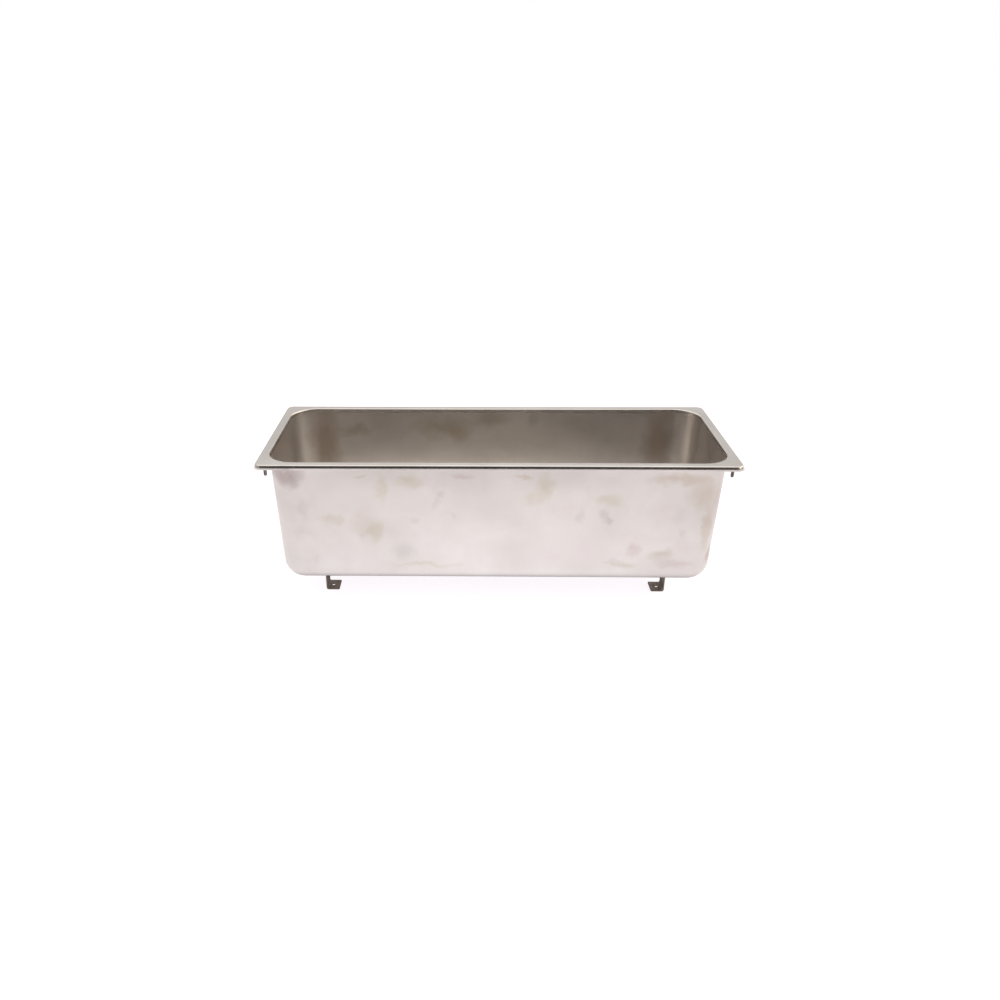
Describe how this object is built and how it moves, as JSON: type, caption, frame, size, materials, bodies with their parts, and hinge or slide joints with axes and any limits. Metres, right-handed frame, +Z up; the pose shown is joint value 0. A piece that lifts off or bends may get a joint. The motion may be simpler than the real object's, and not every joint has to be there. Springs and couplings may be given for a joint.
{
  "type": "bulk milk tank",
  "caption": "Long open-topped stainless tank for bulk milk, with a turned-down flat rim, foot brackets, threaded rim studs and a floor outlet closed by a lift-out stopper.",
  "frame": {"origin": "on the plane that the feet stand on, under the middle of the tank", "axes": "+X along the tank, to the right seen from the front; +Y from front to back; +Z up"},
  "size_m": [0.8218, 0.3064, 0.283],
  "materials": {
    "pan_steel": "satin, drawn sheet",
    "bracket_steel": "dull",
    "stud_steel": "dull",
    "outlet_steel": "polished",
    "gasket_rubber": "matte",
    "washer_steel": "dull",
    "locknut_steel": "dull",
    "stopper_steel": "polished",
    "seal_rubber": "matte",
    "ring_steel": "polished"
  },
  "bodies": {
    "tank": {"tank_shell": "pan_steel", "foot_bracket_front_left": "bracket_steel", "foot_bracket_front_right": "bracket_steel", "foot_bracket_rear_left": "bracket_steel", "foot_bracket_rear_right": "bracket_steel", "rim_stud_front_left": "stud_steel", "rim_stud_front_right": "stud_steel", "rim_stud_rear_left": "stud_steel", "rim_stud_rear_right": "stud_steel", "outlet_body": "outlet_steel", "outlet_gasket": "gasket_rubber", "outlet_lower_gasket": "gasket_rubber", "outlet_washer": "washer_steel", "outlet_locknut": "locknut_steel"},
    "stopper": {"stopper_body": "stopper_steel", "stopper_seal": "seal_rubber"},
    "ring": {"pull_ring": "ring_steel"}
  },
  "joints": [
    {"name": "stopper_lift", "type": "slide", "parent": "tank", "child": "stopper", "axis": [0, 0, 1], "range_m": [0, 0.28]},
    {"name": "ring_swing", "type": "hinge", "parent": "stopper", "child": "ring", "pos_m": [0, 0, 0.0488], "axis": [0, -1, 0], "range_deg": [0, 180]}
  ]
}
